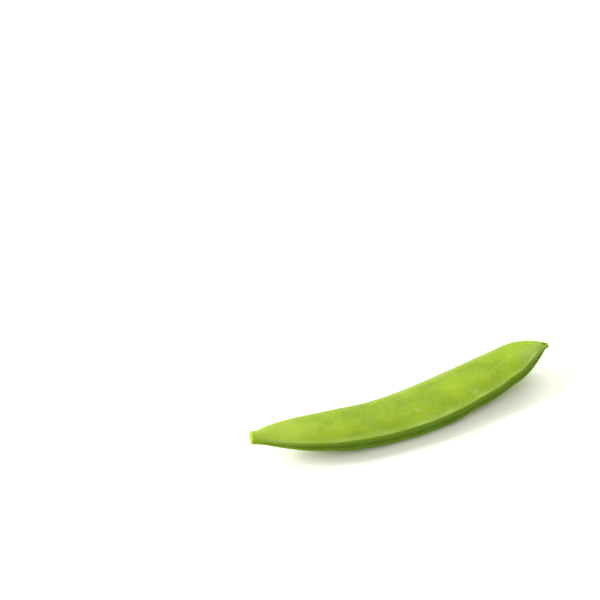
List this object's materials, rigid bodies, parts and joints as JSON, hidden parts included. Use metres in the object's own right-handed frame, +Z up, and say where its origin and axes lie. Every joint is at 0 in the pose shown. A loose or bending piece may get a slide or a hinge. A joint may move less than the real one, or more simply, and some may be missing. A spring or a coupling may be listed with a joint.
{
  "type": "snow pea pod",
  "caption": "Flat, bowed green pea pod with a cut stem stub and a small beak, lying on one face with both ends curling up.",
  "frame": {"origin": "bottom centre of the pod's box, on the surface it lies on", "axes": "+X from the cut stem stub to the beak, +Y towards the hollow edge of the bow, +Z up through the upper face"},
  "size_m": [0.0806, 0.0168, 0.0068],
  "materials": {
    "pod_skin": "satin, waxy fresh green skin"
  },
  "bodies": {
    "root": {"pod": "pod_skin"}
  },
  "joints": []
}
